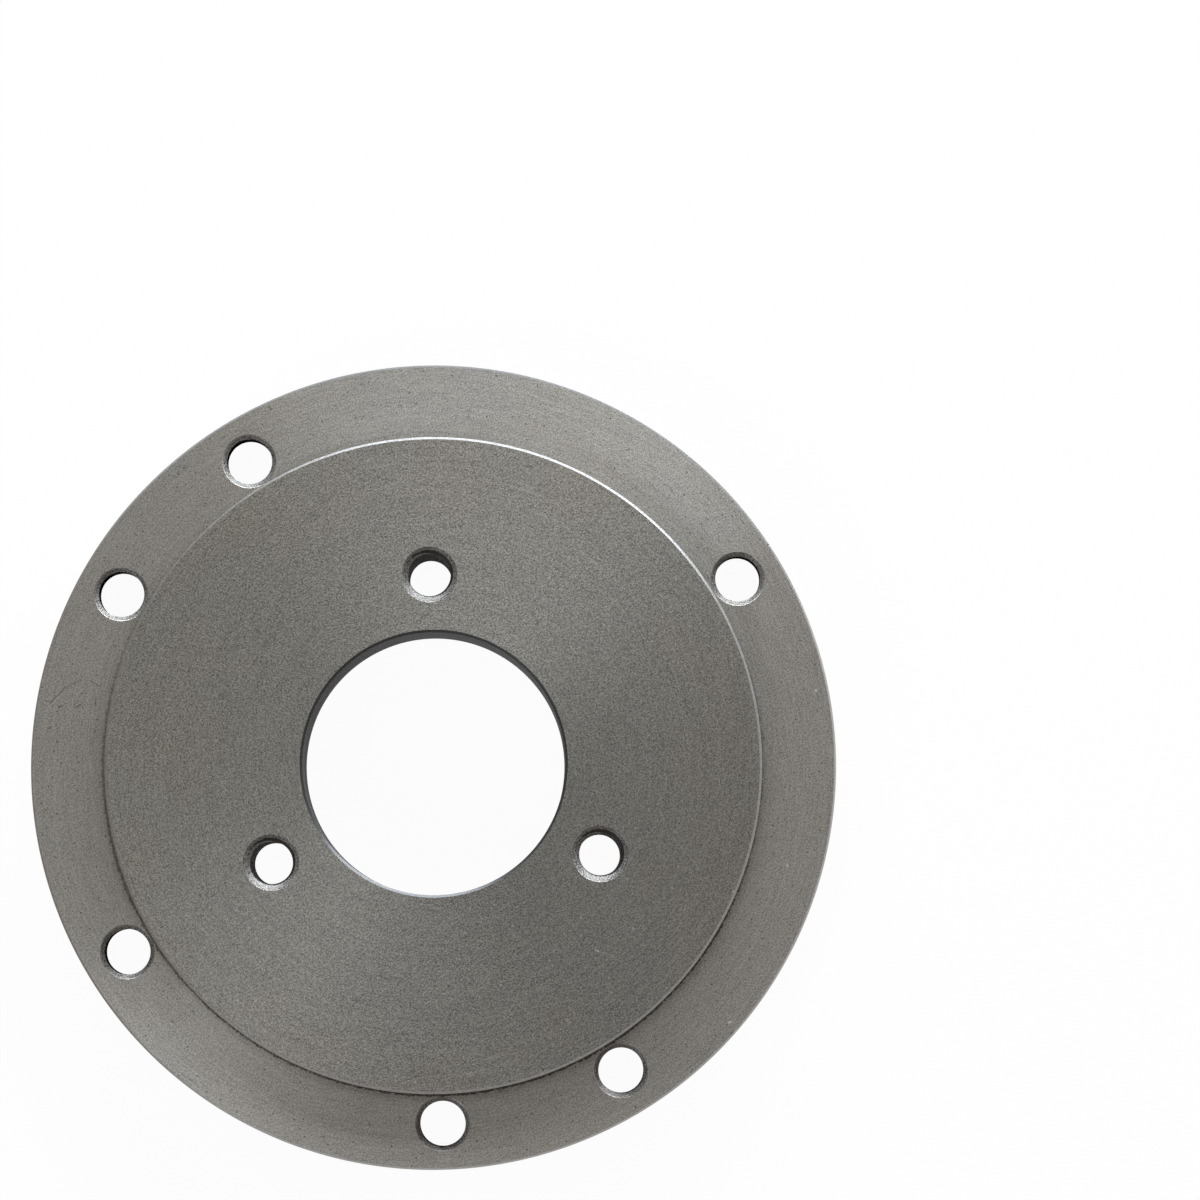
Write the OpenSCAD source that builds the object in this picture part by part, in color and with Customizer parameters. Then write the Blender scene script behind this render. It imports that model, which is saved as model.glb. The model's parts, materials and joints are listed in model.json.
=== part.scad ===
// Adapter plate that carries a 160 mm lathe chuck on a smaller spindle or table flange.
// It is one turned disc. Z = 0 is the flat back face, +Z points at the chuck, and +X runs through
// the bolt hole that the three-jaw and the four-jaw pattern share.

/* [Plate] */
// Outside diameter, flush with the chuck body
outer_d = 160; // [125:1:250]
// Thickness of the bolting flange, from the back face to the face that the chuck seats on
flange_t = 13.5; // [11:0.5:25]
// Chamfer that breaks the two edges of the rim
rim_chamfer = 0.4; // [0.2:0.1:0.8]

/* [Register] */
// Distance from the register's wall out to the bolt circle
register_to_bolts = 6; // [5.75:0.25:12]
// Height of the register above the flange face
register_h = 4.5; // [2:0.5:10]
// Lead-in chamfer round the top of the register
register_chamfer = 0.5; // [0.2:0.1:1]

/* [Centre bore] */
// Diameter of the plain bore that long work passes through
bore_d = 52; // [20:0.5:60]
// Chamfer at both ends of the bore
bore_chamfer = 0.5; // [0.2:0.1:1.5]

/* [Chuck bolt holes] */
// Distance from the bolt circle out to the rim
bolts_to_rim = 9; // [8:0.25:14]
// Clearance hole for each chuck bolt
chuck_hole_d = 9; // [8.4:0.1:10]
// Chamfer round each bolt hole on the flange face
chuck_hole_chamfer = 0.7; // [0.2:0.1:1]
// Bolt holes for a three-jaw chuck, the first of them on +X
three_jaw_holes = 3; // [3:3:6]
// Bolt holes for a four-jaw chuck, the first of them on +X
four_jaw_holes = 4; // [4:4:8]

/* [Counterbores] */
// Diameter of the counterbore that sinks each bolt head into the back
counterbore_d = 14; // [11:0.1:15]
// Depth of the counterbore
counterbore_depth = 8.5; // [4:0.5:10]
// Chamfer round the mouth of the counterbore
counterbore_chamfer = 0.4; // [0.2:0.1:0.8]

/* [Tapped holes] */
// Pitch circle of the tapped holes that fasten the plate to the spindle
spindle_pcd = 75; // [70:0.5:110]
// Number of tapped holes
spindle_holes = 3; // [3:1:6]
// Nominal size of the metric thread
thread_d = 10; // [6:1:12]
// Pitch of the thread
thread_pitch = 1.5; // [1:0.25:1.75]
// How far the countersink at each end is wider than the thread, all across
countersink_extra = 0.6; // [0.2:0.1:2]
// Angle of the first tapped hole, from the X axis
first_tapped_angle = 60; // [0:5:120]

/* [Hidden] */
$fn = 180;

// What a cutter runs past the surface that it leaves
overrun = 0.2;
plate_t = flange_t + register_h;
// Both circles follow from the rim: 142 mm for the bolts and 130 mm for the register
chuck_pcd = outer_d - 2 * bolts_to_rim;
register_d = chuck_pcd - 2 * register_to_bolts;
// Thread form: a 60 degree thread truncated to 5/8 of its sharp height leaves this minor diameter
minor_d = thread_d - 2 * 5 / 8 * thread_pitch * sqrt(3) / 2;
countersink_d = thread_d + countersink_extra;
countersink_depth = (countersink_d - minor_d) / 2;

three_jaw_angles = [for (i = [0 : three_jaw_holes - 1]) i * 360 / three_jaw_holes];
// The four-jaw circle starts on the first three-jaw hole, so only its other holes are drilled as well
other_four_jaw_angles = [for (i = [1 : four_jaw_holes - 1]) i * 360 / four_jaw_holes];
chuck_angles = concat(three_jaw_angles, other_four_jaw_angles);
tapped_angles = [for (i = [0 : spindle_holes - 1]) first_tapped_angle + i * 360 / spindle_holes];

// Puts a copy of a cutter at each angle on a pitch circle
module on_circle(pcd, angles) {
    for (a = angles)
        rotate([0, 0, a])
            translate([pcd / 2, 0, 0])
                children();
}

// Half section of the turned blank, from the bore out to the rim
module turned_blank() {
    bore_r = bore_d / 2;
    rim_r = outer_d / 2;
    register_r = register_d / 2;
    rotate_extrude()
        polygon([
            [bore_r, bore_chamfer],
            [bore_r + bore_chamfer, 0],
            [rim_r - rim_chamfer, 0],
            [rim_r, rim_chamfer],
            [rim_r, flange_t - rim_chamfer],
            [rim_r - rim_chamfer, flange_t],
            [register_r, flange_t],
            [register_r, plate_t - register_chamfer],
            [register_r - register_chamfer, plate_t],
            [bore_r + bore_chamfer, plate_t],
            [bore_r, plate_t - bore_chamfer],
        ]);
}

// Clearance hole with its front chamfer, and the counterbore for the bolt head from the back
module chuck_bolt_cutter() {
    hole_r = chuck_hole_d / 2;
    head_r = counterbore_d / 2;
    head_mouth = counterbore_chamfer + overrun;
    front_mouth = chuck_hole_chamfer + overrun;
    rotate_extrude()
        polygon([
            [0, -overrun],
            [head_r + head_mouth, -overrun],
            [head_r, counterbore_chamfer],
            [head_r, counterbore_depth],
            [hole_r, counterbore_depth],
            [hole_r, flange_t - chuck_hole_chamfer],
            [hole_r + front_mouth, flange_t + overrun],
            [0, flange_t + overrun],
        ]);
}

// Tapping hole through the whole plate, at the thread's minor diameter, countersunk at both faces
module tapped_hole_cutter() {
    minor_r = minor_d / 2;
    mouth = countersink_depth + overrun;
    rotate_extrude()
        polygon([
            [0, -overrun],
            [minor_r + mouth, -overrun],
            [minor_r, countersink_depth],
            [minor_r, plate_t - countersink_depth],
            [minor_r + mouth, plate_t + overrun],
            [0, plate_t + overrun],
        ]);
}

module adapter_plate() {
    color([0.44, 0.43, 0.41])
        difference() {
            turned_blank();
            on_circle(chuck_pcd, chuck_angles)
                chuck_bolt_cutter();
            on_circle(spindle_pcd, tapped_angles)
                tapped_hole_cutter();
        }
}

adapter_plate();
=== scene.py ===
# %% [markdown]
# # Chuck adapter plate
#
# The object is one disc of metal, turned on a lathe and then drilled. A lathe chuck sits on its raised
# register and is held by screws through the outer holes. Three tapped holes near the centre fasten the
# plate to a spindle. This lesson makes it the way a workshop does: turn a blank, make the cutting tools,
# drill, tap, and then finish each surface as its own tool leaves it.
#
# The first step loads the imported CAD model, which is the frame that everything is measured from.

# %% Load the frame
import json
import math
from functools import reduce
import bmesh
import bpy
from mathutils import Matrix, Vector


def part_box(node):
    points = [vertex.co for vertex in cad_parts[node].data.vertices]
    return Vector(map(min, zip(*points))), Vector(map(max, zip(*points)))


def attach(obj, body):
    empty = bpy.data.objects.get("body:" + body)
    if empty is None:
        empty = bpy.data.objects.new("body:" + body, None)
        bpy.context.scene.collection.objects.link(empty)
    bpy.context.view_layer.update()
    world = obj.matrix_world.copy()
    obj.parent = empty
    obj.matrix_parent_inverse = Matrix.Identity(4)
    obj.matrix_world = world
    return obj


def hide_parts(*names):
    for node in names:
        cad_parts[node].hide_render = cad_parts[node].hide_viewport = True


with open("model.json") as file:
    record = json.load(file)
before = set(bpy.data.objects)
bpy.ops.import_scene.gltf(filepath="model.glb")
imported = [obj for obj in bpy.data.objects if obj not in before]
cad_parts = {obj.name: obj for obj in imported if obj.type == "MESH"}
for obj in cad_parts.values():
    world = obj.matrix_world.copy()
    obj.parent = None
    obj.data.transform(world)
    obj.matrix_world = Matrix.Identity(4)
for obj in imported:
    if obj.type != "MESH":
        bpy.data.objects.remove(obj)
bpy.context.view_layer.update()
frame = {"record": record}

MM = 0.001
NODE = "adapter_plate"

# %% [markdown]
# ## Sizes
#
# On the real plate a few sizes rule the rest: the register that fits the chuck, the circle of its bolts,
# the bore and the thread. They could be typed again here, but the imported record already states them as
# mounts, so they are read from it, and the two models can't drift apart. Only what no mount states, such as
# the chamfers and the counterbores, is given here.

# %% Sizes of the plate


def mount(name):
    return next(m for m in frame["record"]["mounts"] if m["name"] == name)


def size_of(name, key):
    return mount(name)["dims"][key] * MM


RIM_R = 80 * MM
RIM_CHAMFER = 0.4 * MM
REGISTER_R = size_of("register", "r_mm")
REGISTER_CHAMFER = 0.5 * MM
BORE_R = size_of("centre_bore", "r_mm")
BORE_CHAMFER = 0.5 * MM
FLANGE_T = mount("flange_face")["pos_m"][2]
PLATE_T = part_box(NODE)[1].z

BOLT_CIRCLE_R = size_of("shared_and_opposite_bolts", "spacing_x_mm") / 2
BOLT_HOLE_R = size_of("shared_and_opposite_bolts", "hole_r_mm")
BOLT_HOLE_CHAMFER = 0.7 * MM
COUNTERBORE_R = 7 * MM
COUNTERBORE_DEPTH = 8.5 * MM
COUNTERBORE_CHAMFER = 0.4 * MM

TAPPED_CIRCLE_R = size_of("spindle_screws", "pcd_mm") / 2
THREAD_MINOR_R = size_of("spindle_screws", "hole_r_mm")
THREAD_MAJOR_R = 5 * MM
THREAD_PITCH = 1.5 * MM
COUNTERSINK_R = 5.3 * MM
FIRST_TAPPED_ANGLE = math.radians(60)

THREE_JAW_HOLES = 3
FOUR_JAW_HOLES = 4
TAPPED_HOLES = 3

print(f"flange {FLANGE_T / MM:.1f} mm, whole plate {PLATE_T / MM:.1f} mm thick")
print(f"register {REGISTER_R / MM:.1f} mm, bolt circle {BOLT_CIRCLE_R / MM:.1f} mm in radius")

# %% [markdown]
# ## The camera
#
# The photograph looks nearly straight down on the plate from about 0.8 m, with a long lens, leaning about
# five degrees. The eye and the aim below are places in the plate's own frame. The plate is off the
# picture's middle because the aim is off the plate's middle, so the lens needs no shift, and a view from
# any other side still centres the plate.

# %% Camera
EYE = Vector((-3.824, -39.357, 821.18)) * MM
AIM = Vector((45.243, 10.738, 13.5)) * MM
PICTURE_UP_ANGLE = math.radians(58.46)
LENS_MM = 121.85
SENSOR_MM = 36


def make_camera():
    data = bpy.data.cameras.new("camera")
    data.lens = LENS_MM
    data.sensor_width = SENSOR_MM
    camera = bpy.data.objects.new("camera", data)
    bpy.context.scene.collection.objects.link(camera)
    forward = (AIM - EYE).normalized()
    up_hint = Vector((math.cos(PICTURE_UP_ANGLE), math.sin(PICTURE_UP_ANGLE), 0))
    right = forward.cross(up_hint).normalized()
    up = right.cross(forward)
    camera.matrix_world = Matrix([
        [right.x, up.x, -forward.x, EYE.x],
        [right.y, up.y, -forward.y, EYE.y],
        [right.z, up.z, -forward.z, EYE.z],
        [0, 0, 0, 1],
    ])
    bpy.context.scene.camera = camera
    return camera


camera = make_camera()
print("camera leans", round(math.degrees((AIM - EYE).angle(Vector((0, 0, -1)))), 2), "degrees")

# %% [markdown]
# ## Sums written on sockets
#
# Both Geometry Nodes and shaders work with the same Math nodes. A formula drawn as nodes is hard to read,
# and the same formula in Python isn't. `Value` wraps a socket, and each of its operators adds the Math
# node that it stands for. `Graph.node` adds any other node: its settings first, then its sockets.

# %% Node helpers


class Graph:
    """A node tree that gives its nodes out as values."""

    def __init__(self, tree):
        self.tree = tree

    def node(self, kind, settings=None, inputs=None, output=0):
        node = self.tree.nodes.new(kind)
        for name, setting in (settings or {}).items():
            setattr(node, name, setting)
        for key, value in (inputs or {}).items():
            self.feed(node.inputs[key], value)
        return None if output is None else Value(self, node.outputs[output])

    def feed(self, socket, value):
        if isinstance(value, Value):
            self.tree.links.new(value.socket, socket)
        elif isinstance(value, list):
            for one in value:
                self.tree.links.new(one.socket, socket)
        else:
            socket.default_value = value

    def math(self, operation, *values):
        return self.node("ShaderNodeMath", {"operation": operation}, dict(enumerate(values)))


class Value:
    """A socket that can stand in a sum."""

    def __init__(self, graph, socket):
        self.graph = graph
        self.socket = socket

    def __add__(self, other):
        return self.graph.math("ADD", self, other)

    def __radd__(self, other):
        return self.graph.math("ADD", other, self)

    def __sub__(self, other):
        return self.graph.math("SUBTRACT", self, other)

    def __rsub__(self, other):
        return self.graph.math("SUBTRACT", other, self)

    def __mul__(self, other):
        return self.graph.math("MULTIPLY", self, other)

    def __rmul__(self, other):
        return self.graph.math("MULTIPLY", other, self)

    def __truediv__(self, other):
        return self.graph.math("DIVIDE", self, other)

    def __rtruediv__(self, other):
        return self.graph.math("DIVIDE", other, self)

    def __pow__(self, other):
        return self.graph.math("POWER", self, other)

    def __abs__(self):
        return self.graph.math("ABSOLUTE", self)

    def least(self, other):
        return self.graph.math("MINIMUM", self, other)

    def most(self, other):
        return self.graph.math("MAXIMUM", self, other)

    def fraction(self):
        return self.graph.math("FRACT", self)

    def fade(self, start, end):
        """0 before start, 1 after end, and smooth between; start may be the larger one."""
        settings = {"interpolation_type": "SMOOTHSTEP"}
        sockets = {"Value": self, "From Min": min(start, end), "From Max": max(start, end)}
        sockets["To Min"], sockets["To Max"] = (0.0, 1.0) if start < end else (1.0, 0.0)
        return self.graph.node("ShaderNodeMapRange", settings, sockets)


print("helpers ready: Graph and Value")

# %% [markdown]
# ## Turning
#
# Everything here that is round about an axis is a section swung once round it: the blank, the stepped
# drill and the countersink. A lathe does the same. A stack of cylinders would need joins, and a lathed
# section needs none, so each shape is a list of corners, in order, and `turned` swings it. Corners on the
# axis fall together in a pole, and they are merged before the faces are turned outwards. An edge that lies
# on the axis would sweep nothing, so it is left out.

# %% Turn a section into a solid
BLANK_STEPS = 720
CUTTER_STEPS = 120
SAME_POINT = 0.0005 * MM


def turned(name, section, steps):
    """A closed solid of revolution about Z. The section's corners are (radius, height)."""
    work = bmesh.new()
    corners = [work.verts.new((radius, 0, height)) for radius, height in section]
    pairs = list(zip(corners, corners[1:] + corners[:1]))
    edges = [work.edges.new(pair) for pair in pairs if pair[0].co.x or pair[1].co.x]
    bmesh.ops.spin(
        work,
        geom=corners + edges,
        axis=(0, 0, 1),
        cent=(0, 0, 0),
        angle=2 * math.pi,
        steps=steps,
        use_merge=True,
        use_duplicate=False,
    )
    bmesh.ops.remove_doubles(work, verts=work.verts, dist=SAME_POINT)
    bmesh.ops.recalc_face_normals(work, faces=work.faces)
    mesh = bpy.data.meshes.new(name)
    work.to_mesh(mesh)
    work.free()
    made = bpy.data.objects.new(name, mesh)
    bpy.context.scene.collection.objects.link(made)
    return made


def open_edges(mesh):
    """How many edges don't join exactly two faces; a closed mesh has none."""
    work = bmesh.new()
    work.from_mesh(mesh)
    count = sum(not edge.is_manifold for edge in work.edges)
    work.free()
    return count


BLANK_SECTION = [
    (BORE_R, BORE_CHAMFER),
    (BORE_R + BORE_CHAMFER, 0),
    (RIM_R - RIM_CHAMFER, 0),
    (RIM_R, RIM_CHAMFER),
    (RIM_R, FLANGE_T - RIM_CHAMFER),
    (RIM_R - RIM_CHAMFER, FLANGE_T),
    (REGISTER_R, FLANGE_T),
    (REGISTER_R, PLATE_T - REGISTER_CHAMFER),
    (REGISTER_R - REGISTER_CHAMFER, PLATE_T),
    (BORE_R + BORE_CHAMFER, PLATE_T),
    (BORE_R, PLATE_T - BORE_CHAMFER),
]
blank = turned("blank", BLANK_SECTION, BLANK_STEPS)
print("blank:", len(blank.data.polygons), "faces,", open_edges(blank.data), "open edges")

# %% [markdown]
# ## The cutting tools
#
# A bolt hole on the real plate takes three tools: a drill, a counterbore from behind for the screw's head,
# and a chamfer tool. One stepped cutter can stand for all three, as a form drill does. The tapped hole
# takes a countersink at each face, which is one more turned shape, and a tap. The real plate was also
# knocked twice on the front edge of its rim, and a small ball takes those two nicks out.

# %% Stepped drill, countersink and nick
OVERRUN = 0.2 * MM

STEPPED_DRILL_SECTION = [
    (0, -OVERRUN),
    (COUNTERBORE_R + COUNTERBORE_CHAMFER + OVERRUN, -OVERRUN),
    (COUNTERBORE_R, COUNTERBORE_CHAMFER),
    (COUNTERBORE_R, COUNTERBORE_DEPTH),
    (BOLT_HOLE_R, COUNTERBORE_DEPTH),
    (BOLT_HOLE_R, FLANGE_T - BOLT_HOLE_CHAMFER),
    (BOLT_HOLE_R + BOLT_HOLE_CHAMFER + OVERRUN, FLANGE_T + OVERRUN),
    (0, FLANGE_T + OVERRUN),
]
COUNTERSINK_DEPTH = COUNTERSINK_R - THREAD_MINOR_R
COUNTERSINK_SECTION = [
    (0, -OVERRUN),
    (COUNTERSINK_R + OVERRUN, -OVERRUN),
    (THREAD_MINOR_R, COUNTERSINK_DEPTH),
    (THREAD_MINOR_R, PLATE_T - COUNTERSINK_DEPTH),
    (COUNTERSINK_R + OVERRUN, PLATE_T + OVERRUN),
    (0, PLATE_T + OVERRUN),
]

NICK_R = 0.55 * MM
NICK_STEPS = 24
half_turn = [2 * math.pi * i / NICK_STEPS for i in range(1, NICK_STEPS // 2)]
NICK_SECTION = [(0, -NICK_R)]
NICK_SECTION += [(NICK_R * math.sin(a), -NICK_R * math.cos(a)) for a in half_turn]
NICK_SECTION += [(0, NICK_R)]

stepped_drill = turned("stepped_drill", STEPPED_DRILL_SECTION, CUTTER_STEPS)
countersink = turned("countersink", COUNTERSINK_SECTION, CUTTER_STEPS)
nick = turned("nick", NICK_SECTION, NICK_STEPS)
tools = (stepped_drill, countersink, nick)
print("tools:", sum(open_edges(tool.data) for tool in tools), "open edges")

# %% [markdown]
# ## The tap
#
# A tap is a rod whose radius rises and falls along a helix. A spring of triangles swept along a curve
# would leave two ragged ends to close. Here a plain cylinder is taken instead, and a Geometry Nodes tree
# sets the radius of each of its points from one rule: how far the point is, in turns, from the middle of
# the groove. The flanks are at 60 degrees to each other, with flats of an eighth of the pitch at the root
# and a quarter at the crest, as on any metric thread. The cylinder stays closed, so the tap cuts cleanly.
# Its crests stay a hair inside the drilled wall, because two cutters must not share a surface.

# %% Geometry Nodes tree for the tap
ROWS_A_PITCH = 14
TAP_STEPS = 96
TAP_CREST_R = THREAD_MINOR_R - 0.02 * MM
ROOT_FLAT = 1 / 8
CREST_FLAT = 1 / 4


def new_tree(name, inputs):
    """A Geometry Nodes tree with one geometry output, its named inputs, and their identifiers."""
    tree = bpy.data.node_groups.new(name, "GeometryNodeTree")
    tree.interface.new_socket("Geometry", in_out="OUTPUT", socket_type="NodeSocketGeometry")
    for label, kind in inputs:
        tree.interface.new_socket(label, in_out="INPUT", socket_type=kind)
    graph = Graph(tree)
    entry = tree.nodes.new("NodeGroupInput")
    sockets = {label: Value(graph, entry.outputs[label]) for label, _ in inputs}
    return graph, sockets


def close_tree(graph, geometry, finish):
    """End a tree in plain geometry with one finish on it, because an export drops instances."""
    plain = graph.node("GeometryNodeRealizeInstances", None, {"Geometry": geometry})
    finished = graph.node("GeometryNodeSetMaterial", None, {"Geometry": plain, "Material": finish})
    leaving = graph.tree.nodes.new("NodeGroupOutput")
    graph.feed(leaving.inputs["Geometry"], finished)
    return graph.tree


def baked(name, tree, values, source=None):
    """The plain mesh that a tree makes, with its inputs set by their identifiers."""
    start = source.data.copy() if source else bpy.data.meshes.new(name)
    maker = bpy.data.objects.new(name, start)
    bpy.context.scene.collection.objects.link(maker)
    modifier = maker.modifiers.new("tree", "NODES")
    modifier.node_group = tree
    for item in tree.interface.items_tree:
        if item.in_out == "INPUT" and item.name in values:
            modifier[item.identifier] = values[item.name]
    maker.update_tag()
    depsgraph = bpy.context.evaluated_depsgraph_get()
    mesh = bpy.data.meshes.new_from_object(maker.evaluated_get(depsgraph), depsgraph=depsgraph)
    maker.modifiers.remove(modifier)
    maker.data = mesh
    return maker


def tap_tree():
    graph, given = new_tree("tap", [
        ("Crest radius", "NodeSocketFloat"),
        ("Root radius", "NodeSocketFloat"),
        ("Pitch", "NodeSocketFloat"),
        ("Length", "NodeSocketFloat"),
        ("Middle height", "NodeSocketFloat"),
        ("Rows", "NodeSocketInt"),
        ("Steps", "NodeSocketInt"),
        ("Finish", "NodeSocketMaterial"),
    ])
    rod = graph.node("GeometryNodeMeshCylinder", {"fill_type": "NGON"}, {
        "Vertices": given["Steps"],
        "Side Segments": given["Rows"],
        "Radius": 1.0,
        "Depth": given["Length"],
    })
    place = graph.node("GeometryNodeInputPosition")
    x, y, z = (graph.node("ShaderNodeSeparateXYZ", None, {0: place}, output=i) for i in range(3))
    turn = graph.math("ARCTAN2", y, x) / (2 * math.pi)
    from_root = abs((z / given["Pitch"] - turn).fraction() - 0.5) * 2
    depth = ((1 - CREST_FLAT - from_root) / (1 - CREST_FLAT - ROOT_FLAT)).most(0.0).least(1.0)
    radius = given["Crest radius"] + depth * (given["Root radius"] - given["Crest radius"])
    height = z + given["Middle height"]
    moved = graph.node("ShaderNodeCombineXYZ", None, {0: x * radius, 1: y * radius, 2: height})
    shaped = graph.node("GeometryNodeSetPosition", None, {"Geometry": rod, "Position": moved})
    return close_tree(graph, shaped, given["Finish"])


# The trees set this one, and the plate's real finishes take its place further on
bare = bpy.data.materials.new("bare_metal")
tap_length = PLATE_T + 4 * OVERRUN
tap = baked("tap", tap_tree(), {
    "Crest radius": TAP_CREST_R,
    "Root radius": THREAD_MAJOR_R,
    "Pitch": THREAD_PITCH,
    "Length": tap_length,
    "Middle height": PLATE_T / 2,
    "Rows": round(tap_length / THREAD_PITCH * ROWS_A_PITCH),
    "Steps": TAP_STEPS,
    "Finish": bare,
})
print("tap:", len(tap.data.polygons), "faces,", open_edges(tap.data), "open edges")

# %% [markdown]
# ## Drilling in a jig
#
# The outer holes are two patterns on one circle: three for a three-jaw chuck and four for a four-jaw
# chuck, and both start in the same hole, so there are six. Six typed positions would hide that. The tree
# below draws the two circles as points, leaves out the four-jaw point that the other circle already has,
# sets the cutter on each point, and takes it all out of the blank. The tapped holes are a third circle.

# %% Geometry Nodes tree for the drilling jig
SHARP_ANGLE = math.radians(22)


def circle_of(graph, cutter, count, radius, first_angle=0.0, first_index=0):
    """Copies of a cutter on a circle, from the given index on."""
    circle = graph.node("GeometryNodeMeshCircle", None, {"Vertices": count, "Radius": radius})
    turn = graph.node("ShaderNodeCombineXYZ", None, {2: first_angle})
    turned_circle = graph.node("GeometryNodeTransform", None, {"Geometry": circle, "Rotation": turn})
    index = graph.node("GeometryNodeInputIndex")
    tool = graph.node("GeometryNodeObjectInfo", None, {"Object": cutter}, output="Geometry")
    placed = graph.node("GeometryNodeInstanceOnPoints", None, {
        "Points": turned_circle,
        "Selection": graph.math("GREATER_THAN", index, first_index - 0.5),
        "Instance": tool,
    })
    return graph.node("GeometryNodeRealizeInstances", None, {"Geometry": placed})


def copies_at(graph, tool, places):
    """Copies of a cutter at the points of a given object."""
    points = graph.node("GeometryNodeObjectInfo", None, {"Object": places}, output="Geometry")
    cutter = graph.node("GeometryNodeObjectInfo", None, {"Object": tool}, output="Geometry")
    placed = graph.node("GeometryNodeInstanceOnPoints", None, {"Points": points, "Instance": cutter})
    return graph.node("GeometryNodeRealizeInstances", None, {"Geometry": placed})


def jig_tree():
    graph, given = new_tree("drilling_jig", [
        ("Blank", "NodeSocketGeometry"),
        ("Nick", "NodeSocketObject"),
        ("Nick places", "NodeSocketObject"),
        ("Stepped drill", "NodeSocketObject"),
        ("Countersink", "NodeSocketObject"),
        ("Tap", "NodeSocketObject"),
        ("Bolt circle radius", "NodeSocketFloat"),
        ("Three-jaw holes", "NodeSocketInt"),
        ("Four-jaw holes", "NodeSocketInt"),
        ("Tapped circle radius", "NodeSocketFloat"),
        ("First tapped angle", "NodeSocketFloat"),
        ("Tapped holes", "NodeSocketInt"),
        ("Finish", "NodeSocketMaterial"),
    ])
    bolts = given["Bolt circle radius"]
    tapped = given["Tapped holes"], given["Tapped circle radius"], given["First tapped angle"]
    cuts = [
        circle_of(graph, given["Stepped drill"], given["Three-jaw holes"], bolts),
        circle_of(graph, given["Stepped drill"], given["Four-jaw holes"], bolts, first_index=1),
        circle_of(graph, given["Countersink"], *tapped),
        circle_of(graph, given["Tap"], *tapped),
        copies_at(graph, given["Nick"], given["Nick places"]),
    ]
    settings = {"operation": "DIFFERENCE", "solver": "MANIFOLD"}
    drilled = graph.node("GeometryNodeMeshBoolean", settings, {
        "Mesh 1": given["Blank"],
        "Mesh 2": cuts,
    })
    smooth = graph.node("GeometryNodeSetShadeSmooth", None, {"Geometry": drilled})
    bend = graph.node("GeometryNodeInputMeshEdgeAngle")
    creased = graph.node("GeometryNodeSetShadeSmooth", {"domain": "EDGE"}, {
        "Geometry": smooth,
        "Selection": graph.math("GREATER_THAN", bend, SHARP_ANGLE),
        "Shade Smooth": False,
    })
    return close_tree(graph, creased, given["Finish"])


print("edges that bend more than", round(math.degrees(SHARP_ANGLE)), "degrees stay sharp")

# %% [markdown]
# ## Two nicks
#
# The knocks on the rim follow no rule, so their places can't come from a circle. They are the points of a
# small mesh, and the tree sets a nick on each. The ball's middle lies a little outside the rim and above the
# face, so that only a shallow dent is left.

# %% Places of the nicks
NICK_ANGLES = [math.radians(angle) for angle in (19.2, 1.8)]
NICK_CENTRE_R = RIM_R + 0.12 * MM
NICK_HEIGHT = FLANGE_T + 0.06 * MM
nick_centres = [
    (NICK_CENTRE_R * math.cos(angle), NICK_CENTRE_R * math.sin(angle), NICK_HEIGHT)
    for angle in NICK_ANGLES
]
nick_mesh = bpy.data.meshes.new("nick_places")
nick_mesh.from_pydata(nick_centres, [], [])
nick_places = bpy.data.objects.new("nick_places", nick_mesh)
bpy.context.scene.collection.objects.link(nick_places)
print("nicks:", len(nick_centres))

# %% Drill the plate
plate = baked("drilled_plate", jig_tree(), {
    "Stepped drill": stepped_drill,
    "Countersink": countersink,
    "Tap": tap,
    "Nick": nick,
    "Nick places": nick_places,
    "Bolt circle radius": BOLT_CIRCLE_R,
    "Three-jaw holes": THREE_JAW_HOLES,
    "Four-jaw holes": FOUR_JAW_HOLES,
    "Tapped circle radius": TAPPED_CIRCLE_R,
    "First tapped angle": FIRST_TAPPED_ANGLE,
    "Tapped holes": TAPPED_HOLES,
    "Finish": bare,
}, source=blank)
for used in (blank, stepped_drill, countersink, tap, nick, nick_places):
    bpy.data.objects.remove(used)
plate.data.calc_loop_triangles()
print("plate:", len(plate.data.loop_triangles), "triangles,", open_edges(plate.data), "open edges")

# %% [markdown]
# ## Which tool left which surface
#
# One disc of one metal still shows several finishes, because each surface keeps the marks of the tool that
# cut it. The zones could be masks inside one large material. Separate materials are easier to read and to
# tune, so each face is sorted here, by where it lies and which way it points, into one of ten zones.

# %% Sort the faces into zones
ZONES = ["faced_flange", "faced_register", "faced_back", "turned_side", "bored_wall", "drilled_wall",
         "counterbored", "cut_thread", "turned_edge", "torn_edge"]
NEAR = 0.01 * MM
# How upright a face's normal is: all of it on a flat, and about 0.71 on a chamfer at 45 degrees
FLAT_FROM = 0.99
SLOPING_FROM = 0.6
SLOPING_TO = 0.8


def hole_centres(count, radius, first_angle=0.0):
    angles = [first_angle + 2 * math.pi * i / count for i in range(count)]
    return [Vector((radius * math.cos(a), radius * math.sin(a), 0)) for a in angles]


BOLT_CENTRES = hole_centres(THREE_JAW_HOLES, BOLT_CIRCLE_R) + hole_centres(FOUR_JAW_HOLES, BOLT_CIRCLE_R)
TAPPED_CENTRES = hole_centres(TAPPED_HOLES, TAPPED_CIRCLE_R, FIRST_TAPPED_ANGLE)


def distance_to(centres, point):
    return min(math.hypot(point.x - c.x, point.y - c.y) for c in centres)


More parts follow.
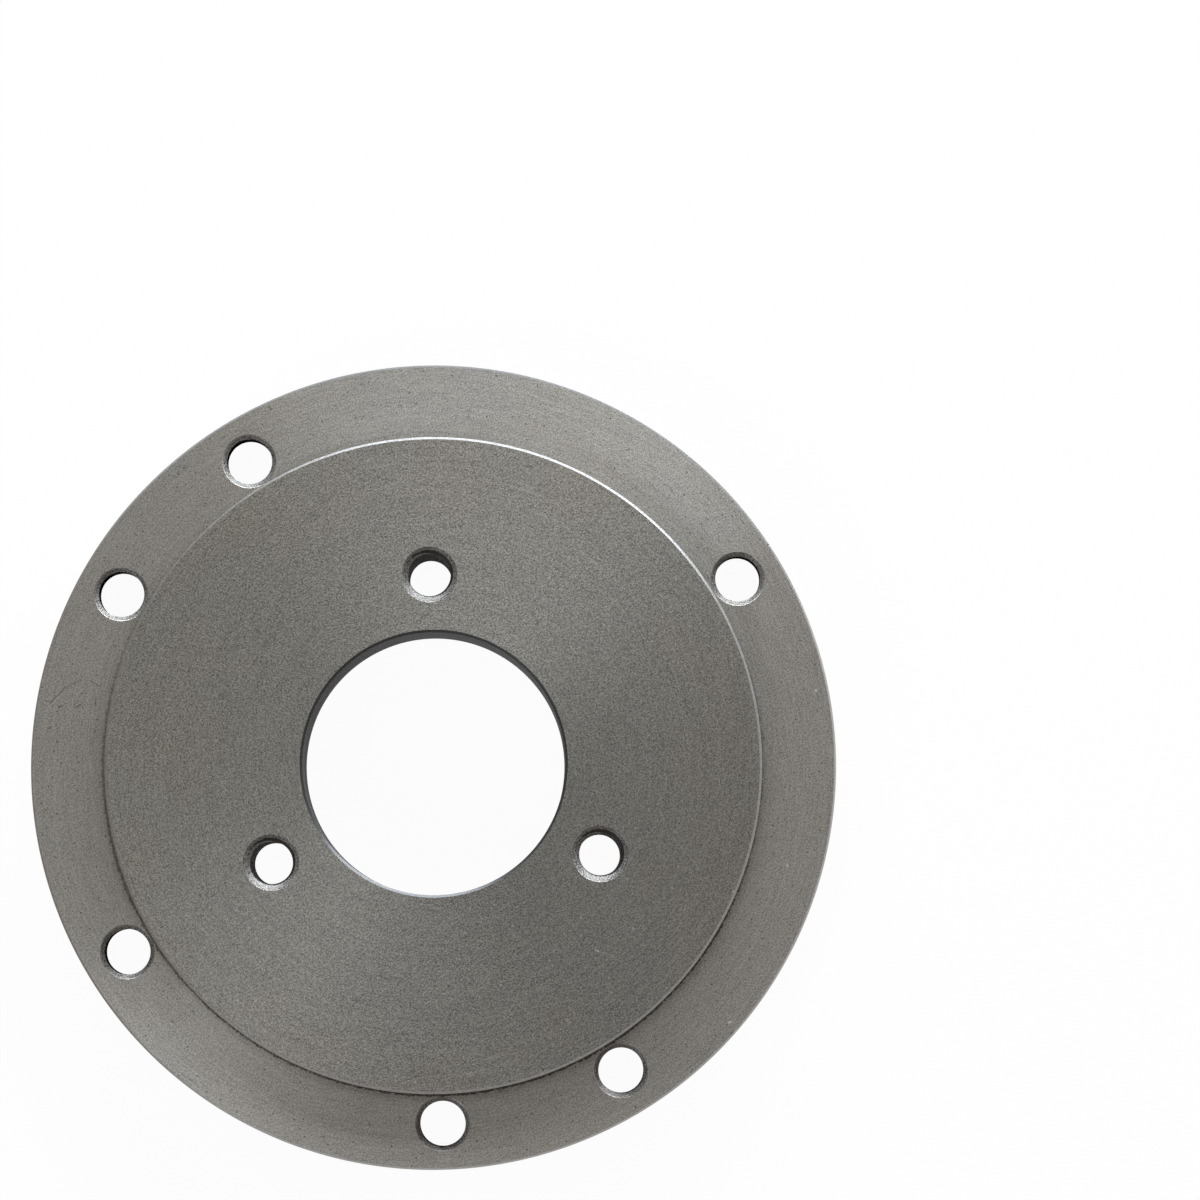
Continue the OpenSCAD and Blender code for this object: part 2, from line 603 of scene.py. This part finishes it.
def zone_of(face):
    """The name of the finish that a face gets."""
    upright = abs(face.normal.z)
    height = face.center.z
    if upright > FLAT_FROM and height > PLATE_T - NEAR:
        return "faced_register"
    if upright > FLAT_FROM and height > FLANGE_T - NEAR:
        return "faced_flange"
    if upright > FLAT_FROM and height < NEAR:
        return "faced_back"
    sloping = SLOPING_FROM < upright < SLOPING_TO
    if distance_to(TAPPED_CENTRES, face.center) < COUNTERSINK_R:
        at_ends = min(height, PLATE_T - height) < COUNTERSINK_DEPTH
        outside = distance_to(TAPPED_CENTRES, face.center) > THREAD_MINOR_R + NEAR
        return "torn_edge" if at_ends and outside and sloping else "cut_thread"
    counterbore_mouth = COUNTERBORE_R + COUNTERBORE_CHAMFER
    if distance_to(BOLT_CENTRES, face.center) < counterbore_mouth and height < FLANGE_T:
        if sloping:
            return "torn_edge"
        return "counterbored" if height < COUNTERBORE_DEPTH + NEAR else "drilled_wall"
    if min((face.center - Vector(centre)).length for centre in nick_centres) < NICK_R + NEAR:
        return "torn_edge"
    if sloping:
        return "turned_edge"
    radius = math.hypot(face.center.x, face.center.y)
    return "bored_wall" if radius < BORE_R + NEAR else "turned_side"


counts = dict.fromkeys(ZONES, 0)
zone_index = []
for face in plate.data.polygons:
    zone = zone_of(face)
    counts[zone] += 1
    zone_index.append(ZONES.index(zone))
print("faces in each zone:", counts)

# %% [markdown]
# ## Bare metal
#
# Every zone is the same bare iron, so one class sets up what they share. Patterns are worked out in
# millimetres on Object coordinates. Turning marks run round the axis, so they need a coordinate that goes
# round without a seam. An angle has a jump where it starts again. The cosine and the sine of it don't, so
# a point of the pattern is (cosine, sine, radius), and scaling the first two sets how long the marks are.

# %% The shared metal
# As a share of a whole turn: it stretches a highlight across the turning marks instead of along them
QUARTER_TURN = 0.25


class Metal(Graph):
    """A node tree for bare metal, with its coordinates in millimetres."""

    def __init__(self, name):
        self.material = bpy.data.materials.new(name)
        self.material.use_nodes = True
        self.material.node_tree.nodes.clear()
        super().__init__(self.material.node_tree)
        metres = self.node("ShaderNodeTexCoord", output="Object")
        self.place = self.scaled(metres, 1 / MM)
        self.x, self.y, self.z = (
            self.node("ShaderNodeSeparateXYZ", None, {0: self.place}, output=i) for i in range(3)
        )
        self.radius = (self.x * self.x + self.y * self.y) ** 0.5
        self.cosine = self.x / self.radius
        self.sine = self.y / self.radius

    def vector(self, operation, inputs, output=0):
        return self.node("ShaderNodeVectorMath", {"operation": operation}, inputs, output)

    def scaled(self, vector, factor):
        return self.vector("SCALE", {0: vector, 3: factor})

    def moved(self, vector, amount):
        return self.vector("ADD", {0: vector, 1: (amount,) * 3})

    def noise(self, vector, scale=1.0, detail=2.0, roughness=0.5):
        """Smooth noise about zero, mostly within 0.25 of it."""
        sockets = {"Vector": vector, "Scale": scale, "Detail": detail, "Roughness": roughness}
        return self.node("ShaderNodeTexNoise", None, sockets) - 0.5

    def ring_place(self, pitch, length, across):
        """Where a point is in a pattern of marks round the axis, pitch apart and length long."""
        turns = RIM_R / MM / length
        return self.node("ShaderNodeCombineXYZ", None, {
            0: self.cosine * turns,
            1: self.sine * turns,
            2: across / pitch,
        })

    def toward(self, angle):
        """1 on the side of the plate that lies at this angle, -1 on the opposite side."""
        return self.cosine * math.cos(angle) + self.sine * math.sin(angle)

    def blend(self, factor, first, second):
        """A Mix node has sockets for each kind of data. Its colours are 6, 7 and output 2."""
        sockets = {0: factor, 6: first, 7: second}
        return self.node("ShaderNodeMix", {"data_type": "RGBA"}, sockets, output=2)

    def shade(self, level, colour, spread=0.5):
        """A level of 0 leaves the colour, and -1 or 1 makes it darker or lighter by the spread."""
        dark = tuple(c * (1 - spread) for c in colour) + (1.0,)
        light = tuple(c * (1 + spread) for c in colour) + (1.0,)
        return self.blend(level * 0.5 + 0.5, dark, light)

    def finish(self, colour, roughness, height, metallic, brushed=0.0, shine=0.5):
        """Close the tree. The height is in millimetres, and brushed is how far highlights stretch."""
        bump = self.node("ShaderNodeBump", None, {
            "Strength": 1.0,
            "Distance": MM,
            "Height": height,
        })
        shader = self.node("ShaderNodeBsdfPrincipled", None, {
            "Base Color": colour,
            "Metallic": metallic,
            "Roughness": roughness,
            "Normal": bump,
            "Anisotropic": brushed,
            "Anisotropic Rotation": QUARTER_TURN,
            "Specular IOR Level": shine,
        })
        self.node("ShaderNodeOutputMaterial", {"target": "ALL"}, {"Surface": shader}, output=None)
        return self.material


finishes = {}


def add_finish(material):
    """Keep a finish under its name, and say how large it is."""
    finishes[material.name] = material
    print(f"{material.name}: {len(material.node_tree.nodes)} nodes")


print("shared metal ready")

# %% [markdown]
# ## Worn metal
#
# Close up, the iron isn't even. It has a grain, open pits, and grains that happen to shine, and it
# carries specks, scratches, and a torn lip round the mouth of each hole. Each of these is a value from 0 to
# 1 over the plate, so a finish can mix them as it needs. A scratch is worked out from its two ends, because
# the real ones lie where they lie, and a noise would put them elsewhere.

# %% Marks of use
# Scales of the noises, in waves to a millimetre
GRAIN_SCALE = 3.4
PIT_SCALE = 2.4
SPARK_SCALE = 2.8
PATCH_SCALE = 0.05
# How far a noise is moved, in millimetres, so that it doesn't follow the grain
PITS_MOVED = 40.0
SPARKS_MOVED = 80.0


class WornMetal(Metal):
    """Bare metal with the small marks that making and use leave on it."""

    def __init__(self, name):
        super().__init__(name)
        self.flat_place = self.node("ShaderNodeCombineXYZ", None, {0: self.x, 1: self.y})

    def grain(self):
        """The even grain of the iron, about zero."""
        return self.noise(self.place, GRAIN_SCALE, detail=1)

    def pits(self, start, end):
        """1 in the small open pits of the iron, 0 between them."""
        return self.noise(self.moved(self.place, PITS_MOVED), PIT_SCALE, detail=2).fade(start, end)

    def sparks(self, start, end):
        """1 on the grains that shine, 0 between them."""
        return self.noise(self.moved(self.place, SPARKS_MOVED), SPARK_SCALE, detail=1).fade(start, end)

    def patches(self):
        """Wide soft patches, 0 in one and 1 in the next, for a metal of two tints."""
        return self.noise(self.place, PATCH_SCALE, detail=2).fade(-0.2, 0.2)

    def specks(self, spacing, share, radius):
        """Round dots, at most one in each cell of the given spacing, and in this share of the cells."""
        settings = {"voronoi_dimensions": "2D"}
        cells = {"Vector": self.place, "Scale": 1 / spacing}
        distance = self.node("ShaderNodeTexVoronoi", settings, cells, output="Distance") * spacing
        colour = self.node("ShaderNodeTexVoronoi", settings, cells, output="Color")
        chance = self.node("ShaderNodeSeparateXYZ", None, {0: colour})
        return distance.fade(radius, radius / 2) * self.math("LESS_THAN", chance, share)

    def scratches(self, marks):
        """0 off the scratches. Each mark is its two ends, half its width and its strength."""
        shown = []
        for start, end, half_width, strength in marks:
            run = Vector((end[0] - start[0], end[1] - start[1], 0))
            from_start = self.vector("SUBTRACT", {0: self.flat_place, 1: (start[0], start[1], 0)})
            along = self.vector("DOT_PRODUCT", {0: from_start, 1: run / run.length_squared}, output=1)
            nearest = self.vector("SCALE", {0: tuple(run), 3: along.most(0.0).least(1.0)})
            across = self.vector("SUBTRACT", {0: from_start, 1: nearest})
            distance = self.vector("LENGTH", {0: across}, output=1)
            shown.append(distance.fade(half_width * 1.5, half_width * 0.5) * strength)
        return reduce(Value.most, shown)

    def lip(self, centres, mouth, width):
        """1 at the mouth of each hole, falling to 0 where its torn lip has run out into the face."""
        places = [{0: self.flat_place, 1: tuple(centre / MM)} for centre in centres]
        distances = [self.vector("DISTANCE", place, output=1) for place in places]
        return reduce(Value.least, distances).fade(mouth / MM + width, mouth / MM)


print("grains are about", round(1 / GRAIN_SCALE, 2), "mm in size")

# %% [markdown]
# ## The faced flange
#
# The ring that the chuck bolts onto was faced with a turning tool, so it is a lighter satin grey with fine
# lines round it. Lines this fine can't be geometry. They are noise stretched round the axis, in two sizes,
# over the grain of the iron, and they change the colour, the gloss and the bump together.
#
# It is also where the plate is dirty. Against the register's wall a thin dark foot is painted: shade in the
# corner with oil in it, strongest on the near side, which lies away from the far lamp, and beside it a
# faint band of painted shade. One side has a wider brown stain with specks in it, and at one place the foot
# is smudged. Three bright dots, some hair scratches and a few dark specks are wear.

# %% Tones of the flange
FLANGE_WARM = (0.320, 0.301, 0.272)
FLANGE_COOL = (0.316, 0.302, 0.276)
BRIGHT_METAL = (0.62, 0.61, 0.58, 1.0)
TORN_METAL = (0.179, 0.171, 0.162)
# Dark brown of oil, and of the shade painted at the foot of the register's wall
OIL_AND_SHADE = (0.070, 0.058, 0.046, 1.0)
BROWN_STAIN = (0.265, 0.238, 0.186, 1.0)

# Where on the plate the dirt lies; the first is where the shade painted at the register's foot is darkest
SHADED_FOOT_SIDE = math.radians(225)
STAINED_SIDE = math.radians(145)
SMUDGED_SIDE = math.radians(66)

# The torn lip at a hole's mouth: its width in millimetres, and how much it falls over that width
BOLT_LIP = 0.22
TAPPED_LIP = 0.28
LIP_SLOPE = 0.68
print("the lips are", BOLT_LIP, "and", TAPPED_LIP, "mm wide")

# %% Scratches of the flange
# Each row: the two ends (x, y) and half the width, in millimetres, and how strong the mark is
BRIGHT_DOTS = [
    ((23.15, -74.12), (23.35, -74.22), 0.22, 0.9),
    ((49.21, -53.85), (49.35, -53.75), 0.20, 0.8),
    ((72.48, -27.26), (72.60, -27.10), 0.22, 0.8),
]
HAIR_SCRATCHES = [
    ((-58.71, 50.29), (-54.42, 51.32), 0.13, 0.50),
    ((-54.42, 51.32), (-51.14, 51.00), 0.12, 0.40),
    ((-54.92, 46.80), (-53.51, 46.79), 0.14, 0.55),
    ((-49.64, 49.83), (-48.58, 47.91), 0.13, 0.42),
    ((-57.63, 48.68), (-57.13, 48.47), 0.16, 0.65),
    ((-51.27, 45.26), (-50.44, 46.34), 0.16, 0.55),
    ((-59.29, 51.06), (-58.09, 50.17), 0.13, 0.42),
]
print("marks on the flange:", len(BRIGHT_DOTS) + len(HAIR_SCRATCHES))

# %% Dirt of the flange


def dirt_and_shade_of_flange(metal, stained):
    """Oil, stain and painted corner shade, 0 where there is none. Widths are millimetres out from the
    register's wall.
    """
    from_wall = metal.radius - REGISTER_R / MM
    toward_shaded_foot = metal.toward(SHADED_FOOT_SIDE)
    smudged = metal.toward(SMUDGED_SIDE).fade(0.9, 0.98)
    wide = stained.fade(0.6, 1.0)
    ragged = metal.noise(metal.place, scale=2.0, detail=3, roughness=0.7)
    patchy = metal.noise(metal.place, scale=0.6, detail=3)

    # The foot is painted shade in the corner, with oil in it, darkest on the side away from the far lamp
    foot_width = 0.47 + toward_shaded_foot * 0.10 + wide * 0.45 + smudged * 1.2 + patchy * 0.8 + ragged * 1.0
    foot_darkness = ((0.55 + 0.6 * toward_shaded_foot).least(0.8) - wide * 0.3).most(smudged * 0.15).most(0.0)
    foot = (from_wall - foot_width).fade(0.14, -0.10) * foot_darkness
    # A faint band of painted shade beside the wall
    band_width = 0.9 + toward_shaded_foot * 0.4 + patchy * 2.4
    band = (from_wall - band_width).fade(0.5, -0.3) * (0.05 + 0.05 * toward_shaded_foot)
    smear = metal.noise(metal.ring_place(pitch=9, length=14, across=metal.radius), detail=4)
    dirt_and_shade = (foot + band + smear.fade(0.1, 0.3) * 0.1) * (1.0 + 3.0 * ragged)

    stain_width = 2.6 + patchy * 4.0
    stain = (from_wall - stain_width).fade(2.0, -2.0) * stained.fade(0.3, 0.95) * (0.2 + ragged)
    return dirt_and_shade, stain


def specks_of_flange(metal, stained):
    """Dark specks all over, and more of them where the stain meets the register's foot."""
    from_wall = metal.radius - REGISTER_R / MM
    near_foot = from_wall.fade(1.9, 0.5) * stained.fade(0.4, 0.9)
    scattered = metal.specks(spacing=1.5, share=0.1, radius=0.22) * 0.75
    return scattered.most(metal.specks(spacing=0.7, share=0.4, radius=0.24) * near_foot * 0.7)


# The side where the painted shade and the oil at the register's foot are darkest
print("oil is thickest toward", round(math.degrees(SHADED_FOOT_SIDE)), "degrees")

# %% Finish of the flange


def faced_flange():
    metal = WornMetal("faced_flange")
    lines = metal.noise(metal.ring_place(pitch=0.38, length=11, across=metal.radius))
    marks = metal.noise(metal.ring_place(pitch=0.36, length=1.4, across=metal.radius), detail=3)
    grain = metal.grain()
    mottle = metal.noise(metal.place, scale=0.4, detail=2, roughness=0.7)
    level = lines * 0.55 + marks * 0.5 + grain * 2.2 + mottle * 0.2
    level = level - metal.pits(-0.15, -0.26) * 0.5 + metal.sparks(0.17, 0.30) * 0.4

    stained = metal.toward(STAINED_SIDE)
    dirt_and_shade, stain = dirt_and_shade_of_flange(metal, stained)
    warm = metal.shade(level, FLANGE_WARM, spread=0.75)
    cool = metal.shade(level, FLANGE_COOL, spread=0.75)
    colour = metal.blend(stain, metal.blend(metal.patches(), warm, cool), BROWN_STAIN)
    dark = dirt_and_shade.most(0.0).least(0.95).most(specks_of_flange(metal, stained))
    dark = dark.most(metal.scratches(HAIR_SCRATCHES))
    # Oil, specks, scratches and the painted shade at the wall's foot darken the colour
    colour = metal.blend(dark, colour, OIL_AND_SHADE)
    colour = metal.blend(metal.scratches(BRIGHT_DOTS), colour, BRIGHT_METAL)

    lip = metal.lip(BOLT_CENTRES, BOLT_HOLE_R + BOLT_HOLE_CHAMFER, BOLT_LIP)
    colour = metal.blend(lip * 0.5, colour, metal.shade(grain * 6.0, TORN_METAL, spread=0.7))
    roughness = 0.42 + marks * 0.15 + dirt_and_shade * 0.12
    height = lines * 0.008 + marks * 0.014 + grain * 0.027 - lip * BOLT_LIP * LIP_SLOPE
    return metal.finish(colour, roughness, height, metallic=0.75 - lip * 0.3, brushed=0.8)


add_finish(faced_flange())

# %% [markdown]
# ## The faced register
#
# The raised face is darker and more matt, and its turning lines are broken up into short flakes, as cast
# iron tears a little under the tool. Two noises make that: the grain is even in every direction, and the
# flakes are a little longer round the axis. Both move the bump too, so the speckle sparkles where a lamp
# is mirrored. One side is painted a little lighter, with a livelier speckle, and the other side a little
# darker: painted light, sparkle and shade. A few short scratches cross it. The back is the same metal with
# fewer lines and no scratches, and the same painted light and shade.

# %% Tones and scratches of the register and the back
REGISTER_WARM = (0.2150, 0.1990, 0.1745)
REGISTER_COOL = (0.2080, 0.1990, 0.1785)
BACK_WARM = (0.232, 0.214, 0.191)
BACK_COOL = (0.226, 0.213, 0.193)

# Sides of the register and the back where light, sparkle and shade are painted
PAINTED_LIGHT_SIDE = math.radians(110)
PAINTED_SHADE_SIDE = math.radians(250)
PAINTED_SPARKLE_SIDE = math.radians(85)

REGISTER_SCRATCHES = [
    ((8.00, -48.02), (8.39, -48.60), 0.18, 0.45),
    ((8.39, -48.60), (10.76, -51.44), 0.11, 0.14),
    ((8.89, -41.03), (9.00, -41.10), 0.16, 0.35),
    ((6.97, -44.04), (7.05, -44.16), 0.15, 0.3),
    ((16.50, -48.30), (16.62, -48.36), 0.16, 0.35),
    ((27.29, -45.61), (27.40, -45.70), 0.16, 0.35),
    ((33.04, -31.66), (33.11, -33.67), 0.10, 0.18),
    ((32.70, -37.12), (33.86, -45.23), 0.10, 0.15),
    ((37.13, -52.59), (37.30, -52.42), 0.18, 0.5),
]
print("scratches on the register:", len(REGISTER_SCRATCHES))

# %% Finishes of the register and the back


def speckled(name, warm, cool, turned_lines, scratches=()):
    """Matt iron torn into flakes, in two tints, with more or less of its turning lines left, and painted
    light and shade.
    """
    metal = WornMetal(name)
    grain = metal.grain()
    flakes = metal.noise(metal.ring_place(pitch=0.34, length=1.1, across=metal.radius), detail=2)
    lines = metal.noise(metal.ring_place(pitch=0.5, length=20, across=metal.radius))
    # Painted light toward one side and painted shade toward another, and speckle painted livelier toward a
    # third as sparkle
    lighter = metal.toward(PAINTED_LIGHT_SIDE) * 0.10 - metal.toward(PAINTED_SHADE_SIDE).fade(0.72, 1.0) * 0.13
    painted_sparkle = metal.toward(PAINTED_SPARKLE_SIDE) * 0.14 + 1.0
    level = (grain * 2.8 + flakes * 0.9) * painted_sparkle + lines * turned_lines + lighter
    level = level - metal.pits(-0.17, -0.28) * 0.4 + metal.sparks(0.15, 0.28) * 0.8

    inward = metal.radius.fade(REGISTER_R / MM, BORE_R / MM)
    tint = (metal.patches() + inward * 0.8).least(1.0)
    colour = metal.blend(tint, metal.shade(level, warm, spread=0.75), metal.shade(level, cool, spread=0.75))
    if scratches:
        colour = metal.blend(metal.scratches(scratches), colour, BRIGHT_METAL)

    lip = metal.lip(TAPPED_CENTRES, COUNTERSINK_R, TAPPED_LIP)
    torn = metal.shade(grain * 6.0, TORN_METAL, spread=0.7)
    colour = metal.blend((lip * 3.0).least(1.0), colour, torn)
    roughness = 0.48 + flakes * 0.2
    height = flakes * 0.024 + grain * 0.038 - lip * TAPPED_LIP * LIP_SLOPE
    return metal.finish(colour, roughness, height, metallic=0.7 - lip * 0.3, brushed=0.57)


add_finish(speckled("faced_register", REGISTER_WARM, REGISTER_COOL, 0.5, REGISTER_SCRATCHES))
add_finish(speckled("faced_back", BACK_WARM, BACK_COOL, 0.2))

# %% [markdown]
# ## Sides and bore
#
# The rim and the register's wall were turned, so their lines run round them at even heights. The bore was
# turned too, but it is more matt, and its dark tone is painted shade: little light reaches it.

# %% Finishes of the sides and the bore
SIDE_TONE = (0.225, 0.218, 0.204)
# The bore's near-black tone is painted shade
BORE_SHADE_TONE = (0.056, 0.054, 0.055)


def turned_side():
    metal = Metal("turned_side")
    lines = metal.noise(metal.ring_place(pitch=0.25, length=10, across=metal.z))
    grain = metal.noise(metal.place, scale=0.9, detail=5, roughness=0.78)
    colour = metal.shade(lines * 1.0 + grain * 1.6, SIDE_TONE)
    return metal.finish(colour, 0.42 + lines * 0.2, lines * 0.008 + grain * 0.006, metallic=0.75)


def bored_wall():
    metal = Metal("bored_wall")
    lines = metal.noise(metal.ring_place(pitch=0.3, length=14, across=metal.z))
    grain = metal.noise(metal.place, scale=0.9, detail=4, roughness=0.7)
    colour = metal.shade(lines * 0.9 + grain * 1.2, BORE_SHADE_TONE)
    height = lines * 0.008 + grain * 0.003
    return metal.finish(colour, 0.7 + lines * 0.2, height, metallic=0.0, shine=0.15)


add_finish(turned_side())
add_finish(bored_wall())

# %% [markdown]
# ## Inside the holes
#
# A drill leaves a rough wall, and nearly no light comes back from deep in a bolt hole, so the drilled wall's
# near-black tone is painted shade. The counterbores are wider and cleaner. The threads lie between the two,
# and their dark tone is painted shade too. All three share one pattern of blotches, and only their tone and
# their gloss differ.

# %% Finishes inside the holes
# The drilled wall and the thread get near-black tones as painted shade; the counterbore keeps its own tone
DRILLED_SHADE_TONE = (0.014, 0.011, 0.010)
COUNTERBORED_TONE = (0.150, 0.139, 0.126)
THREAD_SHADE_TONE = (0.034, 0.028, 0.025)


def blotched(name, tone, roughness, metallic, shine):
    metal = Metal(name)
    blotches = metal.noise(metal.place, scale=1.5, detail=4, roughness=0.7)
    colour = metal.shade(blotches * 1.6, tone)
    return metal.finish(colour, roughness + blotches * 0.3, blotches * 0.006, metallic, shine=shine)


add_finish(blotched("drilled_wall", DRILLED_SHADE_TONE, roughness=0.6, metallic=0.0, shine=0.0))
add_finish(blotched("counterbored", COUNTERBORED_TONE, roughness=0.5, metallic=0.5, shine=0.3))
add_finish(blotched("cut_thread", THREAD_SHADE_TONE, roughness=0.5, metallic=0.1, shine=0.1))

# %% [markdown]
# ## Broken edges
#
# The chamfers of the register and the rim were cut last and are polished by hands and cloths, so they are
# the brightest metal on the plate. The bore's chamfer is painted darker as shade, like its wall. They aren't
# even: toward one side they are painted darker as shade, and darker and browner still further round, and
# the rim's chamfer is painted dark where it faces the wide lamp and light elsewhere, as painted shade and
# light. One finish mixes all that by radius and by side, because the three chamfers are one kind of cut.
# The chamfers round the holes were cut with a hand tool that tears the iron. They are grainy, dark where
# they face away from a lamp, and bright where they face it.

# %% Finish of the turned edges
# Tones of the edges. The bore's is dark as painted shade. The rim's is painted light, and darker where it
# faces the lamp, as painted shade
BORE_EDGE_SHADE_TONE = (0.110, 0.1105, 0.112)
REGISTER_EDGE = (0.320, 0.316, 0.309)
RIM_EDGE = (0.400, 0.396, 0.388)
RIM_EDGE_SHADED_TOWARD_LAMP = (0.135, 0.135, 0.135)
BROWN_SHADE_TONE = (0.190, 0.166, 0.136)

# The lamp's side, where the rim's edge is painted dark, and the sides where the edges are painted shade,
# plain and brown
LAMP_SIDE = math.radians(45)
SHADED_EDGE_SIDE = math.radians(130)
BROWN_SHADE_SIDE = math.radians(155)


def turned_edge():
    metal = WornMetal("turned_edge")
    worn = metal.noise(metal.place, scale=1.6, detail=3, roughness=0.7)
    grain = metal.grain()
    speckle = worn * 1.2 + grain * 2.4
    # Painted shade toward one side, and darker, browner painted shade further round
    tone_and_shade = metal.toward(SHADED_EDGE_SIDE)
    toward_brown_shade = metal.toward(BROWN_SHADE_SIDE).fade(0.55, 0.95)
    brown_shade = metal.shade(speckle, BROWN_SHADE_TONE)

    of_bore = metal.shade(worn * 0.4, BORE_EDGE_SHADE_TONE)
    of_register = metal.shade(speckle - tone_and_shade * 0.3, REGISTER_EDGE)
    of_register = metal.blend(toward_brown_shade * 0.6, of_register, brown_shade)
    rim_elsewhere = metal.shade(worn * 1.2 - tone_and_shade * 0.4, RIM_EDGE)
    rim_elsewhere = metal.blend(toward_brown_shade * 0.85, rim_elsewhere, brown_shade)
    # The rim's edge is painted dark where it faces the wide lamp, and light elsewhere
    rim_shaded_toward_lamp = metal.shade(worn * 0.4, RIM_EDGE_SHADED_TOWARD_LAMP)
    of_rim = metal.blend(metal.toward(LAMP_SIDE).fade(0.5, 0.9), rim_elsewhere, rim_shaded_toward_lamp)

    outside_bore = metal.radius.fade(REGISTER_R / MM - 2, REGISTER_R / MM - 1)
    outside_register = metal.radius.fade(REGISTER_R / MM + 1, REGISTER_R / MM + 2)
    inner = metal.blend(outside_bore, of_bore, of_register)
    colour = metal.blend(outside_register, inner, of_rim)
    return metal.finish(colour, 0.34 + worn * 0.12, worn * 0.004 + grain * 0.006, metallic=0.85)


add_finish(turned_edge())

# %% Finish of the torn edges
TORN_WARM = (0.186, 0.173, 0.159)
TORN_COOL = (0.171, 0.168, 0.164)


def torn_edge():
    metal = Metal("torn_edge")
    torn = metal.noise(metal.place, scale=3.4, detail=1, roughness=0.8)
    # Patches of a warm and a cool tone at random
    tone_and_shade = metal.noise(metal.place, scale=0.8, detail=2).fade(-0.2, 0.2)
    warm = metal.shade(torn * 6.0, TORN_WARM, spread=0.7)
    cool = metal.shade(torn * 6.0, TORN_COOL, spread=0.7)
    return metal.finish(metal.blend(tone_and_shade, warm, cool), 0.40 + torn * 0.8, torn * 0.09, metallic=0.4)


add_finish(torn_edge())

# %% [markdown]
# ## Dress the plate
#
# Each face already has the number of its zone, so the finishes only have to go into the material slots in
# the order of the zones. Then the plain CAD solid is hidden, and this piece moves with the plate's one body.

# %% Put the finishes on the plate
plate.data.materials.clear()
for zone in ZONES:
    plate.data.materials.append(finishes[zone])
plate.data.polygons.foreach_set("material_index", zone_index)
plate.data.update()
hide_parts(NODE)
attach(plate, "root")
print("finishes on the plate:", len(plate.data.materials))

# %% [markdown]
# ## The floor
#
# The photograph has a white ground with the object cut out of it. A floor that is only white would need
# far more light than the metal can take. So the camera, and what the metal mirrors, see a floor that glows
# at a strength of 1 with a little of the lit floor mixed in, and that little keeps the plate's shadow.

# %% Floor
FLOOR_HALF = 3.0
# A hair of air under the plate, so that its back and the floor don't share a surface
FLOOR_TOP = -0.05 * MM
FLOOR_LIT_SHARE = 0.04


def make_floor():
    mesh = bpy.data.meshes.new("floor")
    signs = ((-1, -1), (1, -1), (1, 1), (-1, 1))
    corners = [(FLOOR_HALF * across, FLOOR_HALF * along, FLOOR_TOP) for across, along in signs]
    mesh.from_pydata(corners, [], [(0, 1, 2, 3)])
    floor = bpy.data.objects.new("floor", mesh)
    bpy.context.scene.collection.objects.link(floor)
    material = bpy.data.materials.new("floor_white")
    material.use_nodes = True
    material.node_tree.nodes.clear()
    graph = Graph(material.node_tree)
    seen = [graph.node("ShaderNodeLightPath", output=name)
            for name in ("Is Camera Ray", "Is Glossy Ray", "Is Transmission Ray")]
    lit = graph.node("ShaderNodeBsdfDiffuse", None, {"Color": (0.8, 0.8, 0.8, 1.0)})
    glow = graph.node("ShaderNodeEmission", None, {"Color": (1.0, 1.0, 1.0, 1.0), "Strength": 1.0})
    share = seen[0].most(seen[1]).most(seen[2]) * (1 - FLOOR_LIT_SHARE)
    mixed = graph.node("ShaderNodeMixShader", None, {0: share, 1: lit, 2: glow})
    graph.node("ShaderNodeOutputMaterial", None, {"Surface": mixed}, output=None)
    mesh.materials.append(material)
    return floor


floor = make_floor()
print("floor:", floor.name, "at", round(FLOOR_TOP / MM, 2), "mm")

# %% [markdown]
# ## Light
#
# What makes bare metal look like metal is what it mirrors. One wide soft lamp stands low beyond the
# plate's far side. It draws the bright line along the register's edge, and the faint bright fan across
# the turning lines. A narrow one stands higher, opposite the first, and a weak one overhead fills.
# A lamp's strength is given as its brightness, so 1 is a white card, and the power follows from its area.
#
# The photograph's metal is a little warmer where no lamp reaches it. So the lamps are slightly cool and the
# room slightly warm. The metal's own colour could do that too, but then it would be wrong in other light.

# %% Lamps and world
LAMPS = [
    # name, azimuth, elevation, distance in metres, width, height, brightness
    ("far_softbox", 46, 16, 1.8, 2.6, 0.7, 16.2),
    ("near_softbox", 195, 38, 1.8, 0.6, 0.7, 7.4),
    ("overhead_softbox", 60, 75, 1.8, 1.6, 1.6, 0.5),
]
LAMP_COLOUR = (0.938, 1.0, 1.065)
ROOM_COLOUR = (1.10, 1.0, 0.905, 1.0)
ROOM_BRIGHTNESS = 0.25


def softbox(name, azimuth, elevation, distance, width, height, brightness):
    data = bpy.data.lights.new(name, "AREA")
    data.shape = "RECTANGLE"
    data.size = width
    data.size_y = height
    data.energy = brightness * math.pi * width * height
    data.color = LAMP_COLOUR
    lamp = bpy.data.objects.new(name, data)
    bpy.context.scene.collection.objects.link(lamp)
    a = math.radians(azimuth)
    e = math.radians(elevation)
    out = Vector((math.cos(e) * math.cos(a), math.cos(e) * math.sin(a), math.sin(e)))
    lamp.location = out * distance
    lamp.rotation_euler = out.to_track_quat("Z", "Y").to_euler()
    lamp.visible_camera = False
    return lamp


def plain_world():
    world = bpy.data.worlds.new("studio")
    world.use_nodes = True
    background = world.node_tree.nodes["Background"]
    background.inputs["Color"].default_value = ROOM_COLOUR
    background.inputs["Strength"].default_value = ROOM_BRIGHTNESS
    bpy.context.scene.world = world


for lamp_row in LAMPS:
    print("lamp:", softbox(*lamp_row).name)
plain_world()
bpy.context.scene.view_settings.view_transform = "Standard"
